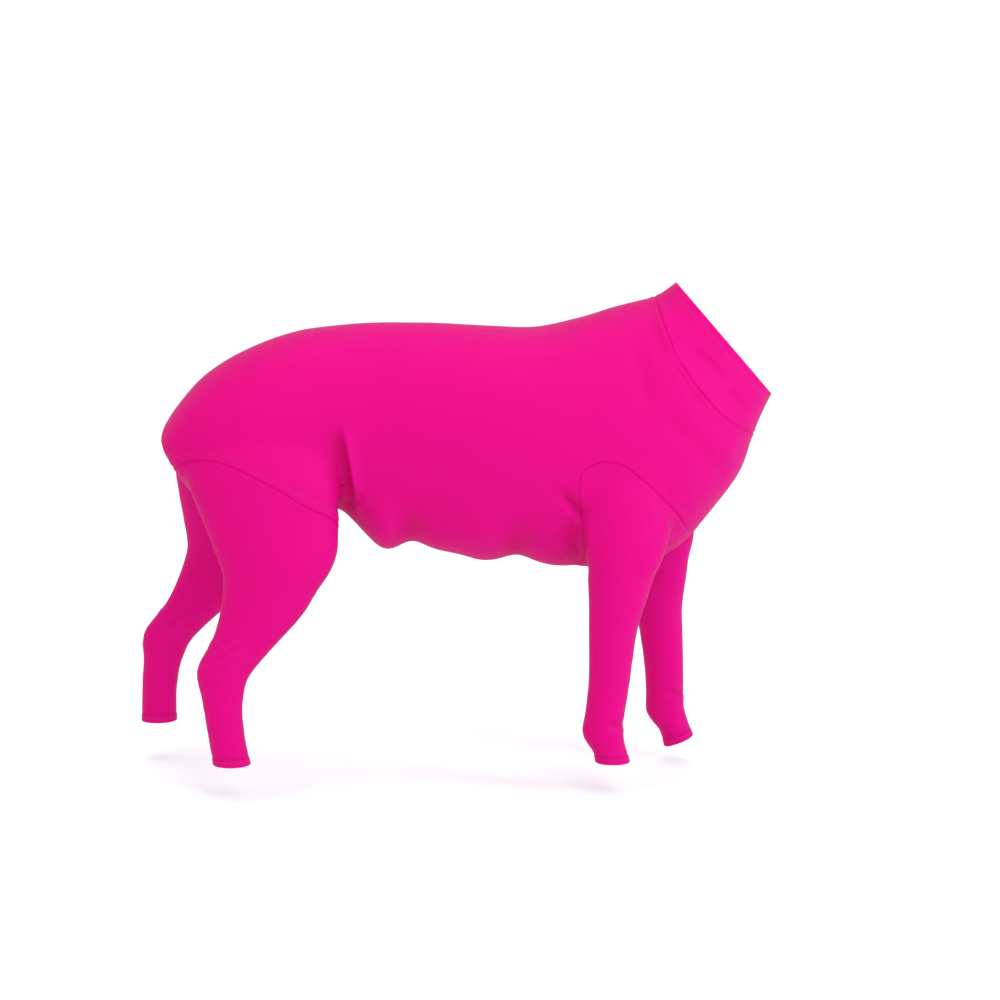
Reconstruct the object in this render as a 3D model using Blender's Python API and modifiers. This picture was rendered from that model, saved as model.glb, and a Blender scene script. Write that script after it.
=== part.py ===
"""Four-legged dog jumpsuit in stretch knit: a body panel, a collar, four sleeves and four cuffs.

Metres, +X towards the head, +Z up. The origin is on the inside of the back, halfway along it.
"""

import math

import bmesh
import bpy
import numpy as np
from mathutils import Vector

# Cloth and sewing
WALL = 0.0016
COLLAR_WALL = 0.0022
CUFF_WALL = 0.0022
SEAM_GAP = 0.0003

# Body
BODY_LENGTH = 0.600
BODY_DEPTH = 0.285
BODY_WIDTH = 0.220
STRIP_WIDTH = 0.036

# Front legs, from the shoulder point to the cuff's edge. The point is a share of the body's length and depth.
SHOULDER_ALONG = 0.3583
SHOULDER_DOWN = 0.3509
FRONT_LENGTH = 0.398
FRONT_DEPTH = 0.086
FRONT_WIDTH = 0.066
FRONT_TRACK = 0.152
FRONT_STRIDE = 0.087
FRONT_STRIDE_EASE = 0.7
LEFT_FRONT_EXTRA = 0.014
LEFT_FRONT_TILT = math.radians(22)

# Hind legs, from the hip point to the cuff's edge. The point is a share of the body's length and depth.
HIP_ALONG = -0.2917
HIP_DOWN = 0.3860
HIND_LENGTH = 0.386
THIGH_DEPTH = 0.170
THIGH_WIDTH = 0.088
HIND_TRACK = 0.190
HIND_STRIDE = 0.107
HIND_STRIDE_EASE = 0.7
LEFT_HIND_EXTRA = -0.004

# Folds
FOLD_WIDTH = 0.012
FOLD_HEIGHT = 0.006

# Edges. The neck's width at the collar's seam is a share of the body's, and the middle of the opening under
# the tail is a share of the body's depth below the back.
CUFF_DEPTH = 0.009
COLLAR_BOW = 0.016
COLLAR_WIDTH = 0.71
OPENING_WIDTH = 0.094
OPENING_HEIGHT = 0.076
OPENING_DOWN = 0.5614
OPENING_FROM = -0.3917

# Reach of the cutters past the cloth and below the cuffs, and of the sleeves' outlines behind and ahead of
# each leg
REACH = 0.30
REACH_BELOW = 0.075
FRONT_SKIRT = (-0.095, 0.190)
HIND_SKIRT = (-0.255, 0.090)

# How finely the form is worked out
RING_SIDES = 40
STEPS_PER_ROW = 4
VOXEL = 0.006
SMOOTHING = 7
FACETS = 3300
ROUNDNESS = 0.92
FOLD_FADE = 0.5

# Sections of the body from the tail to past the collar's rim. Each is a slanted ring between a point on
# the back and one on the belly. x is a share of BODY_LENGTH, z of BODY_DEPTH, width of BODY_WIDTH. egg is
# how much wider the ring is above its middle than below it.
BODY_SECTIONS = [
    # top_x, top_z, low_x, low_z, width, egg
    (-0.508, -0.445, -0.480, -0.560, 0.50, 0.00),
    (-0.480, -0.345, -0.455, -0.665, 0.68, 0.00),
    (-0.420, -0.205, -0.410, -0.735, 0.82, 0.02),
    (-0.335, -0.100, -0.335, -0.750, 0.89, 0.03),
    (-0.250, -0.036, -0.250, -0.745, 0.87, 0.04),
    (-0.175, -0.012, -0.170, -0.750, 0.83, 0.05),
    (-0.095, 0.000, -0.095, -0.890, 0.85, 0.06),
    (0.000, 0.000, 0.000, -0.915, 0.91, 0.08),
    (0.105, -0.010, 0.105, -0.948, 0.97, 0.11),
    (0.207, -0.018, 0.215, -0.975, 1.00, 0.14),
    (0.293, 0.020, 0.320, -0.995, 1.00, 0.14),
    (0.355, 0.060, 0.415, -0.985, 0.98, 0.12),
    (0.398, 0.083, 0.490, -0.905, 0.94, 0.08),
    (0.424, 0.096, 0.555, -0.750, 0.90, 0.04),
    (0.438, 0.103, 0.605, -0.600, 0.82, 0.00),
    (0.450, 0.118, 0.632, -0.435, 0.71, 0.00),
    (0.480, 0.166, 0.665, -0.283, 0.61, 0.00),
    (0.520, 0.240, 0.705, -0.170, 0.58, 0.00),
]

# Front leg sections. down is a share of FRONT_LENGTH, centre and depth of FRONT_DEPTH, width of
# FRONT_WIDTH and out of half FRONT_TRACK.
FRONT_SECTIONS = [
    # down, centre, depth, width, out
    (0.00, 0.00, 0.80, 0.70, 0.88),
    (0.15, 0.04, 1.12, 0.94, 0.96),
    (0.30, 0.13, 1.24, 1.02, 1.01),
    (0.40, 0.13, 1.05, 0.98, 1.04),
    (0.45, 0.10, 0.90, 0.92, 1.04),
    (0.53, 0.05, 0.77, 0.84, 1.03),
    (0.60, 0.00, 0.67, 0.76, 1.02),
    (0.66, -0.02, 0.62, 0.72, 1.01),
    (0.73, -0.04, 0.58, 0.69, 1.00),
    (0.80, -0.07, 0.55, 0.67, 1.00),
    (0.88, -0.12, 0.54, 0.67, 1.00),
    (0.91, -0.14, 0.57, 0.68, 1.00),
    (0.945, -0.09, 0.52, 0.64, 1.00),
    (0.97, -0.03, 0.46, 0.60, 1.00),
    (1.00, 0.00, 0.48, 0.60, 1.00),
    (1.05, 0.04, 0.50, 0.60, 1.00),
]

# Hind leg sections. down is a share of HIND_LENGTH, centre and depth of THIGH_DEPTH, width of
# THIGH_WIDTH and out of half HIND_TRACK.
HIND_SECTIONS = [
    # down, centre, depth, width, out
    (0.00, -0.08, 0.80, 0.70, 0.64),
    (0.10, -0.05, 0.98, 0.94, 0.69),
    (0.17, -0.03, 1.03, 1.02, 0.72),
    (0.24, -0.01, 0.95, 0.99, 0.76),
    (0.31, 0.02, 0.88, 0.92, 0.80),
    (0.37, 0.045, 0.82, 0.86, 0.85),
    (0.43, 0.045, 0.72, 0.78, 0.88),
    (0.48, 0.005, 0.64, 0.71, 0.90),
    (0.55, -0.055, 0.565, 0.64, 0.93),
    (0.625, -0.155, 0.465, 0.56, 0.95),
    (0.665, -0.225, 0.435, 0.53, 0.96),
    (0.71, -0.295, 0.400, 0.50, 0.97),
    (0.75, -0.325, 0.340, 0.47, 0.98),
    (0.785, -0.323, 0.300, 0.455, 0.99),
    (0.82, -0.322, 0.272, 0.45, 1.00),
    (0.87, -0.314, 0.257, 0.45, 1.00),
    (0.92, -0.300, 0.250, 0.45, 1.00),
    (0.96, -0.285, 0.252, 0.46, 1.00),
    (1.00, -0.268, 0.258, 0.47, 1.00),
    (1.05, -0.248, 0.266, 0.47, 1.00),
]

# Seams seen from the side. x is a share of BODY_LENGTH and z of BODY_DEPTH.
ARMHOLE = [
    # x, z
    (0.300, -1.060),
    (0.302, -0.985),
    (0.304, -0.880),
    (0.297, -0.745),
    (0.291, -0.655),
    (0.293, -0.560),
    (0.312, -0.520),
    (0.340, -0.506),
    (0.372, -0.520),
    (0.400, -0.565),
    (0.432, -0.625),
    (0.462, -0.690),
    (0.485, -0.755),
    (0.502, -0.810),
    (0.535, -0.850),
    (0.580, -0.880),
]
HAUNCH = [
    # x, z
    (-0.545, -0.590),
    (-0.510, -0.575),
    (-0.480, -0.555),
    (-0.450, -0.524),
    (-0.418, -0.508),
    (-0.382, -0.512),
    (-0.342, -0.540),
    (-0.300, -0.582),
    (-0.262, -0.625),
    (-0.228, -0.672),
    (-0.195, -0.712),
    (-0.172, -0.740),
    (-0.158, -0.790),
    (-0.153, -0.870),
]

# The collar's seam and its rim, each a slanted line from the nape to the throat. x is a share of
# BODY_LENGTH and z of BODY_DEPTH.
COLLAR_SEAM = (0.441, 0.104, 0.630, -0.433)
COLLAR_RIM = (0.480, 0.166, 0.665, -0.283)

# Main folds seen from the side, each along a line. On the left, those that follow a leg swing with it.
# x is a share of BODY_LENGTH, z of BODY_DEPTH, width and height of FOLD_WIDTH and FOLD_HEIGHT. A negative
# height is a valley.
FOLDS = [
    # follows, from_x, from_z, to_x, to_z, width, height
    ("body", -0.085, -0.62, -0.072, -1.00, 1.3, 1.05),
    ("body", -0.030, -0.66, -0.024, -1.00, 1.4, -1.00),
    ("body", 0.045, -0.74, 0.036, -1.00, 1.8, 0.25),
    ("body", 0.115, -0.66, 0.106, -1.05, 2.0, 0.90),
    ("body", 0.172, -0.70, 0.178, -1.05, 1.5, -0.95),
    ("body", 0.240, -0.74, 0.248, -1.05, 1.8, 0.35),
    ("hind", -0.176, -0.36, -0.150, -0.72, 1.1, -0.75),
    ("hind", -0.150, -0.34, -0.122, -0.74, 1.0, 0.50),
    ("front", 0.225, -0.60, 0.268, -0.72, 1.0, -0.60),
    ("front", 0.268, -0.72, 0.273, -0.97, 0.9, -0.85),
    ("body", 0.392, 0.02, 0.430, -0.25, 1.2, -0.50),
    ("body", 0.430, -0.25, 0.600, -0.46, 1.2, -0.50),
]

# Finish
PINK = (0.80, 0.008, 0.225, 1.0)
KNIT_ROUGHNESS = 0.55
SUIT_NAME = "dog_jumpsuit"


def smooth_rows(rows, steps):
    """The rows of a table with more between them, on a smooth curve through them all."""
    rows = np.array(rows, float)
    padded = np.vstack([2 * rows[0] - rows[1], rows, 2 * rows[-1] - rows[-2]])
    finer = []
    for before, start, end, after in zip(padded, padded[1:], padded[2:], padded[3:]):
        for step in range(steps):
            t = step / steps
            finer.append(
                start
                + 0.5 * t * (end - before)
                + t * t * (before - 2.5 * start + 2 * end - 0.5 * after)
                + t * t * t * (1.5 * (start - end) + 0.5 * (after - before))
            )
    finer.append(rows[-1])
    return np.array(finer)


def loft(name, rings):
    """A closed form through rings of points, with a flat cap at each end."""
    bm = bmesh.new()
    loops = [[bm.verts.new(point) for point in ring] for ring in rings]
    for lower, upper in zip(loops, loops[1:]):
        for i in range(len(lower)):
            j = (i + 1) % len(lower)
            bm.faces.new((lower[i], lower[j], upper[j], upper[i]))
    bm.faces.new(loops[0])
    bm.faces.new(loops[-1])
    bmesh.ops.recalc_face_normals(bm, faces=bm.faces)
    mesh = bpy.data.meshes.new(name)
    bm.to_mesh(mesh)
    bm.free()
    return mesh


def around(across, up):
    """The points of a rounded ring: across and up are its half sizes in its own plane."""
    for i in range(RING_SIDES):
        angle = 2 * math.pi * i / RING_SIDES
        side = math.sin(angle)
        yield math.copysign(abs(side) ** ROUNDNESS, side) * across, math.cos(angle) * up


def body_form():
    rings = []
    for top_x, top_z, low_x, low_z, width, egg in smooth_rows(BODY_SECTIONS, STEPS_PER_ROW):
        top = Vector((top_x * BODY_LENGTH, 0, top_z * BODY_DEPTH + WALL))
        low = Vector((low_x * BODY_LENGTH, 0, low_z * BODY_DEPTH + WALL))
        middle, reach = (top + low) / 2, (top - low) / 2
        half = width * BODY_WIDTH / 2
        rings.append(
            [
                middle + reach * up + Vector((0, across * (1 + egg * up), 0))
                for across, up in around(half, 1)
            ]
        )
    return loft("body_form", rings)


def leg_form(name, leg):
    rings = []
    for down, centre, depth, width, out in smooth_rows(leg["sections"], STEPS_PER_ROW):
        x = leg["x"] + centre * leg["depth"] + leg_shift(leg, down)
        y = leg["side"] * out * leg["track"] / 2
        z = WALL - leg["drop"] - down * leg["length"]
        rings.append(
            [
                Vector((x + along, y + across, z))
                for across, along in around(width * leg["width"] / 2, depth * leg["depth"] / 2)
            ]
        )
    return loft(name, rings)


def leg_shift(leg, down):
    """How far a leg has swung forward, at a share of its length down."""
    return leg["stride"] * max(down, 0) ** leg["ease"]


def swing_at(leg, z):
    """How far a leg has swung forward at a height."""
    return leg_shift(leg, (-z - leg["drop"]) / leg["length"])


def cuff_centre(leg):
    """The middle of the cuff's lower edge, seen from the side."""
    sections = np.array(leg["sections"])
    centre = np.interp(1, sections[:, 0], sections[:, 1])
    x = leg["x"] + centre * leg["depth"] + leg_shift(leg, 1)
    return x, WALL - leg["drop"] - leg["length"]


def make_legs():
    front = {
        "x": SHOULDER_ALONG * BODY_LENGTH,
        "drop": SHOULDER_DOWN * BODY_DEPTH,
        "length": FRONT_LENGTH,
        "depth": FRONT_DEPTH,
        "width": FRONT_WIDTH,
        "track": FRONT_TRACK,
        "sections": FRONT_SECTIONS,
        "seam": ARMHOLE,
        "skirt": FRONT_SKIRT,
        "ease": FRONT_STRIDE_EASE,
    }
    hind = {
        "x": HIP_ALONG * BODY_LENGTH,
        "drop": HIP_DOWN * BODY_DEPTH,
        "length": HIND_LENGTH,
        "depth": THIGH_DEPTH,
        "width": THIGH_WIDTH,
        "track": HIND_TRACK,
        "sections": HIND_SECTIONS,
        "seam": HAUNCH,
        "skirt": HIND_SKIRT,
        "ease": HIND_STRIDE_EASE,
    }
    return {
        ("front", "right"): front | {"side": -1, "stride": 0, "tilt": 0},
        ("front", "left"): front
        | {
            "side": 1,
            "stride": FRONT_STRIDE,
            "tilt": LEFT_FRONT_TILT,
            "length": FRONT_LENGTH + LEFT_FRONT_EXTRA,
        },
        ("hind", "right"): hind | {"side": -1, "stride": 0, "tilt": 0},
        ("hind", "left"): hind
        | {
            "side": 1,
            "stride": -HIND_STRIDE,
            "tilt": 0,
            "length": HIND_LENGTH + LEFT_HIND_EXTRA,
        },
    }


def evaluated_mesh(obj):
    """The object's mesh with its modifiers applied. The object is removed."""
    bpy.context.view_layer.update()
    graph = bpy.context.evaluated_depsgraph_get()
    mesh = bpy.data.meshes.new_from_object(obj.evaluated_get(graph))
    bpy.data.objects.remove(obj)
    return mesh


def fold_height(points, legs):
    """How far the cloth stands out at each point. Folds that follow a leg fade out at the body's middle."""
    height = np.zeros(len(points))
    for side in ("right", "left"):
        here = (points[:, 1] < 0) == (side == "right")
        side_view = points[here][:, [0, 2]]
        for follows, from_x, from_z, to_x, to_z, width, rise in FOLDS:
            ends = np.array(((from_x, from_z), (to_x, to_z))) * (BODY_LENGTH, BODY_DEPTH)
            if follows != "body":
                leg = legs[follows, side]
                ends[:, 0] += [swing_at(leg, z) for z in ends[:, 1]]
            line = ends[1] - ends[0]
            share = np.clip((side_view - ends[0]) @ line / (line @ line), 0, 1)
            away = np.linalg.norm(side_view - ends[0] - share[:, None] * line, axis=1)
            fade_in = np.clip(share / FOLD_FADE, 0, 1)
            swell = fade_in**2 * (3 - 2 * fade_in) * np.exp(-((away / width / FOLD_WIDTH) ** 2))
            if follows != "body":
                swell *= np.clip(np.abs(points[here, 1]) / STRIP_WIDTH, 0, 1)
            height[here] += rise * FOLD_HEIGHT * swell
    return height


def suit_form(legs, scene_collection):
    """The closed outer surface of the whole suit: body and legs grown together, with the folds."""
    bm = bmesh.new()
    bm.from_mesh(body_form())
    for (place, side), leg in legs.items():
        bm.from_mesh(leg_form(f"{place}_{side}_form", leg))
    joined = bpy.data.meshes.new("joined_forms")
    bm.to_mesh(joined)
    bm.free()

    grown = bpy.data.objects.new("grown_form", joined)
    scene_collection.objects.link(grown)
    remesh = grown.modifiers.new("grow_together", "REMESH")
    remesh.mode = "VOXEL"
    remesh.voxel_size = VOXEL
    smooth = grown.modifiers.new("even_out", "SMOOTH")
    smooth.factor = 0.5
    smooth.iterations = SMOOTHING
    mesh = evaluated_mesh(grown)

    points = np.zeros(len(mesh.vertices) * 3)
    mesh.vertices.foreach_get("co", points)
    points = points.reshape(-1, 3)
    normals = np.zeros(len(mesh.vertices) * 3)
    mesh.vertex_normals.foreach_get("vector", normals)
    points += normals.reshape(-1, 3) * fold_height(points, legs)[:, None]
    mesh.vertices.foreach_set("co", points.ravel())

    folded = bpy.data.objects.new("folded_form", mesh)
    scene_collection.objects.link(folded)
    triangles = folded.modifiers.new("triangles", "TRIANGULATE")
    triangles.quad_method = "SHORTEST_DIAGONAL"
    fewer = folded.modifiers.new("fewer_facets", "DECIMATE")
    fewer.ratio = FACETS / (2 * len(mesh.polygons))
    return evaluated_mesh(folded)


def outset(outline, distance):
    """A closed outline moved outwards by a distance. Its points run clockwise."""
    outline = np.array(outline)
    edges = np.roll(outline, -1, axis=0) - outline
    normals = np.stack([-edges[:, 1], edges[:, 0]], axis=1)
    normals /= np.linalg.norm(normals, axis=1)[:, None]
    corner = normals + np.roll(normals, 1, axis=0)
    corner /= (corner * normals).sum(axis=1)[:, None]
    return outline + distance * corner


def prism(name, points, travel, collection):
    """A cutter: a flat outline drawn out by the travel vector."""
    bm = bmesh.new()
    face = bm.faces.new([bm.verts.new(point) for point in points])
    made = bmesh.ops.extrude_face_region(bm, geom=[face])["geom"]
    moved = [v for v in made if isinstance(v, bmesh.types.BMVert)]
    bmesh.ops.translate(bm, verts=moved, vec=travel)
    bmesh.ops.recalc_face_normals(bm, faces=bm.faces)
    mesh = bpy.data.meshes.new(name)
    bm.to_mesh(mesh)
    bm.free()
    obj = bpy.data.objects.new(name, mesh)
    obj.hide_render = True
    obj.display_type = "WIRE"
    collection.objects.link(obj)
    return obj


def side_prism(name, outline, near, far, collection):
    """A cutter that runs across the suit from y = near to y = far, with its outline seen from the side."""
    points = [Vector((x, near, z)) for x, z in outline]
    return prism(name, points, Vector((0, far - near, 0)), collection)


def cuff_corners(leg, up):
    """The rear and front ends of a line across the leg, at a height above the cuff's lower edge."""
    centre_x, centre_z = cuff_centre(leg)
    rise = math.tan(leg["tilt"])
    height = centre_z + up / math.cos(leg["tilt"])
    rear, front = leg["x"] + leg["skirt"][0], leg["x"] + leg["skirt"][1]
    return (rear, height + (rear - centre_x) * rise), (front, height + (front - centre_x) * rise)


def seam_outline(leg, up):
    """A sleeve seen from the side: its seam, then its lower edge at a height above the cuff's edge."""
    seam = smooth_rows(leg["seam"], STEPS_PER_ROW - 1) * (BODY_LENGTH, BODY_DEPTH)
    seam[:, 0] += [swing_at(leg, z) for z in seam[:, 1]]
    rear, front = cuff_corners(leg, up)
    return np.vstack([seam, front, rear])


def sleeve_cutter(name, leg, gap, up, collection):
    """What a sleeve takes of the suit. A positive gap makes it larger, a negative one smaller."""
    near = leg["side"] * (STRIP_WIDTH / 2 - gap)
    outline = outset(seam_outline(leg, up), gap)
    return side_prism(name, outline, near, leg["side"] * REACH, collection)


def cuff_cutter(name, leg, collection):
    rear_top, front_top = cuff_corners(leg, CUFF_DEPTH - SEAM_GAP / 2)
    rear_low, front_low = cuff_corners(leg, 0)
    outline = (rear_top, front_top, front_low, rear_low)
    near = leg["side"] * STRIP_WIDTH / 2
    return side_prism(name, outline, near, leg["side"] * REACH, collection)


def collar_cutter(name, line, bow, shift, collection):
    """All that lies past a slanted line at the neck. Bow carries its sides back along the neck."""
    top = Vector((line[0] * BODY_LENGTH, 0, line[1] * BODY_DEPTH))
    low = Vector((line[2] * BODY_LENGTH, 0, line[3] * BODY_DEPTH))
    down = (low - top).normalized()
    out = Vector((-down.z, 0, down.x))
    across = Vector((0, 1, 0))
    half = BODY_WIDTH * COLLAR_WIDTH / 2
    steps = [REACH / 2 * i / RING_SIDES for i in range(-RING_SIDES, RING_SIDES + 1, 2)]
    edge = [top + across * y + out * (shift - bow * (y / half) ** 2) for y in steps]
    points = [point - down * REACH / 2 for point in edge]
    points.append(points[-1] + out * REACH)
    points.append(points[0] + out * REACH)
    return prism(name, points, down * (REACH + (low - top).length), collection)


def rear_cutter(collection):
    """The opening under the tail: an oval, drawn out along the body."""
    from_x, middle_z = OPENING_FROM * BODY_LENGTH, -OPENING_DOWN * BODY_DEPTH
    points = [
        Vector((from_x, across, middle_z + up))
        for across, up in around(OPENING_WIDTH / 2, OPENING_HEIGHT / 2)
    ]
    return prism("rear_opening", points, Vector((-REACH, 0, 0)), collection)


def knit(name):
    material = bpy.data.materials.new(f"{name}_knit")
    material.use_nodes = True
    shader = material.node_tree.nodes["Principled BSDF"]
    shader.inputs["Base Color"].default_value = PINK
    shader.inputs["Roughness"].default_value = KNIT_ROUGHNESS
    shader.inputs["Metallic"].default_value = 0
    return material


def panel(name, form, wall, kept, cut, collection):
    """One piece of cloth: the suit's form as a thin wall, kept inside some cutters and cut by others."""
    mesh = form.copy()
    mesh.name = name
    mesh.materials.clear()
    mesh.materials.append(knit(name))
    obj = bpy.data.objects.new(name, mesh)
    collection.objects.link(obj)
    cloth = obj.modifiers.new("cloth", "SOLIDIFY")
    cloth.thickness = wall
    cloth.offset = -1
    cloth.use_even_offset = True
    cloth.use_quality_normals = True
    for operation, cutters in (("INTERSECT", kept), ("DIFFERENCE", cut)):
        for cutter in cutters:
            edge = obj.modifiers.new(cutter.name, "BOOLEAN")
            edge.operation = operation
            edge.solver = "EXACT"
            edge.object = cutter
    return obj


def main():
    for obj in list(bpy.data.objects):
        bpy.data.objects.remove(obj)
    suit = bpy.data.collections.new(SUIT_NAME)
    cutters = bpy.data.collections.new("cutters")
    for collection in (suit, cutters):
        bpy.context.scene.collection.children.link(collection)

    legs = make_legs()
    form = suit_form(legs, bpy.context.scene.collection)
    opening = rear_cutter(cutters)
    rim = collar_cutter("collar_rim", COLLAR_RIM, 0, 0, cutters)
    past_body = collar_cutter("past_body", COLLAR_SEAM, COLLAR_BOW, -SEAM_GAP / 2, cutters)
    past_seam = collar_cutter("past_seam", COLLAR_SEAM, COLLAR_BOW, SEAM_GAP / 2, cutters)

    leg_holes = []
    for (place, side), leg in legs.items():
        name = f"{place}_{side}"
        leg_holes.append(sleeve_cutter(f"{name}_hole", leg, SEAM_GAP / 2, -REACH_BELOW, cutters))
        sleeve = sleeve_cutter(f"{name}_outline", leg, -SEAM_GAP / 2, CUFF_DEPTH, cutters)
        cuff = cuff_cutter(f"{name}_cuff_outline", leg, cutters)
        cut = [opening] if place == "hind" else []
        panel(f"{place}_sleeve_{side}", form, WALL, [sleeve], cut, suit)
        panel(f"{place}_cuff_{side}", form, CUFF_WALL, [cuff], [], suit)
    panel("body_panel", form, WALL, [], [past_body, opening] + leg_holes, suit)
    panel("neck_collar", form, COLLAR_WALL, [past_seam], [rim], suit)


main()
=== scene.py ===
"""The looks of the dog jumpsuit: its knit panels, collar, sleeves and turned cuffs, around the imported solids.

Metres, +X towards the head, +Z up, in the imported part's frame.
"""

import math

import bmesh
import bpy
import numpy as np
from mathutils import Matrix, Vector, noise
from mathutils.bvhtree import BVHTree


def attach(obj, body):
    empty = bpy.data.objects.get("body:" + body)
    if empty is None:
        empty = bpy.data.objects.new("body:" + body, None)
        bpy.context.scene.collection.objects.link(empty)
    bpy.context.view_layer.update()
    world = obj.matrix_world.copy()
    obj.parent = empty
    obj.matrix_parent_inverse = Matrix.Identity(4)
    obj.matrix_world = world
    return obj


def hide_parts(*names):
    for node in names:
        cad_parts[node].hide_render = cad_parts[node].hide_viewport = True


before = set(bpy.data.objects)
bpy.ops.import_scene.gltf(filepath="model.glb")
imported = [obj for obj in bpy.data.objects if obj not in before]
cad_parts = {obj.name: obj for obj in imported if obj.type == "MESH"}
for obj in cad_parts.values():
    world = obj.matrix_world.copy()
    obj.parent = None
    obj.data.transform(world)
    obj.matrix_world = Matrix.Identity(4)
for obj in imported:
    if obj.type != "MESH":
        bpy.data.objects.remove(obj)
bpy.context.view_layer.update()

# Cloth and sewing
WALL = 0.0016
COLLAR_WALL = 0.0022
CUFF_WALL = 0.0022

# Body
BODY_LENGTH = 0.600
BODY_DEPTH = 0.285
BODY_WIDTH = 0.220
STRIP_WIDTH = 0.036

# Front legs, from the shoulder point to the cuff's edge. The point is a share of the body's length and depth.
SHOULDER_ALONG = 0.3583
SHOULDER_DOWN = 0.3509
FRONT_LENGTH = 0.398
FRONT_DEPTH = 0.086
FRONT_WIDTH = 0.066
FRONT_TRACK = 0.152
FRONT_STRIDE = 0.087
FRONT_STRIDE_EASE = 0.7
LEFT_FRONT_EXTRA = 0.014
LEFT_FRONT_TILT = math.radians(22)

# Hind legs, from the hip point to the cuff's edge. The point is a share of the body's length and depth.
HIP_ALONG = -0.2917
HIP_DOWN = 0.3860
HIND_LENGTH = 0.386
THIGH_DEPTH = 0.170
THIGH_WIDTH = 0.088
HIND_TRACK = 0.190
HIND_STRIDE = 0.107
HIND_STRIDE_EASE = 0.7
LEFT_HIND_EXTRA = -0.004

# Folds
FOLD_WIDTH = 0.012
FOLD_HEIGHT = 0.006

# Edges. The neck's width at the collar's seam is a share of the body's, and the middle of the opening under
# the tail is a share of the body's depth below the back.
CUFF_DEPTH = 0.009
COLLAR_BOW = 0.016
COLLAR_WIDTH = 0.71
OPENING_WIDTH = 0.094
OPENING_HEIGHT = 0.076
OPENING_DOWN = 0.5614
OPENING_FROM = -0.3917

# Reach of the sleeves' outlines below the cuffs, and behind and ahead of each leg
REACH_BELOW = 0.075
FRONT_SKIRT = (-0.095, 0.190)
HIND_SKIRT = (-0.255, 0.090)

# How finely the form is worked out. Far stands for the distance of what lies elsewhere.
FAR = 10.0
RING_SIDES = 40
STEPS_PER_ROW = 4
VOXEL = 0.0035
SMOOTHING = 21
ROUNDNESS = 0.92
FOLD_FADE = 0.5

# Sections of the body from the tail to past the collar's rim. Each is a slanted ring between a point on
# the back and one on the belly. x is a share of BODY_LENGTH, z of BODY_DEPTH, width of BODY_WIDTH. egg is
# how much wider the ring is above its middle than below it.
BODY_SECTIONS = [
    # top_x, top_z, low_x, low_z, width, egg
    (-0.508, -0.445, -0.480, -0.560, 0.50, 0.00),
    (-0.480, -0.345, -0.455, -0.665, 0.68, 0.00),
    (-0.420, -0.205, -0.410, -0.735, 0.82, 0.02),
    (-0.335, -0.100, -0.335, -0.750, 0.89, 0.03),
    (-0.250, -0.036, -0.250, -0.745, 0.87, 0.04),
    (-0.175, -0.012, -0.170, -0.750, 0.83, 0.05),
    (-0.095, 0.000, -0.095, -0.890, 0.85, 0.06),
    (0.000, 0.000, 0.000, -0.915, 0.91, 0.08),
    (0.105, -0.010, 0.105, -0.948, 0.97, 0.11),
    (0.207, -0.018, 0.215, -0.975, 1.00, 0.14),
    (0.293, 0.020, 0.320, -0.995, 1.00, 0.14),
    (0.355, 0.060, 0.415, -0.985, 0.98, 0.12),
    (0.398, 0.083, 0.490, -0.905, 0.94, 0.08),
    (0.424, 0.096, 0.555, -0.750, 0.90, 0.04),
    (0.438, 0.103, 0.605, -0.600, 0.82, 0.00),
    (0.450, 0.118, 0.632, -0.435, 0.71, 0.00),
    (0.480, 0.166, 0.665, -0.283, 0.61, 0.00),
    (0.520, 0.240, 0.705, -0.170, 0.58, 0.00),
]

# Front leg sections. down is a share of FRONT_LENGTH, centre and depth of FRONT_DEPTH, width of
# FRONT_WIDTH and out of half FRONT_TRACK.
FRONT_SECTIONS = [
    # down, centre, depth, width, out
    (0.00, 0.00, 0.80, 0.70, 0.88),
    (0.15, 0.04, 1.12, 0.94, 0.96),
    (0.30, 0.13, 1.24, 1.02, 1.01),
    (0.40, 0.13, 1.05, 0.98, 1.04),
    (0.45, 0.10, 0.90, 0.92, 1.04),
    (0.53, 0.05, 0.77, 0.84, 1.03),
    (0.60, 0.00, 0.67, 0.76, 1.02),
    (0.66, -0.02, 0.62, 0.72, 1.01),
    (0.73, -0.04, 0.58, 0.69, 1.00),
    (0.80, -0.07, 0.55, 0.67, 1.00),
    (0.88, -0.12, 0.54, 0.67, 1.00),
    (0.91, -0.14, 0.57, 0.68, 1.00),
    (0.945, -0.09, 0.52, 0.64, 1.00),
    (0.97, -0.03, 0.46, 0.60, 1.00),
    (1.00, 0.00, 0.48, 0.60, 1.00),
    (1.05, 0.04, 0.50, 0.60, 1.00),
]

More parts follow.
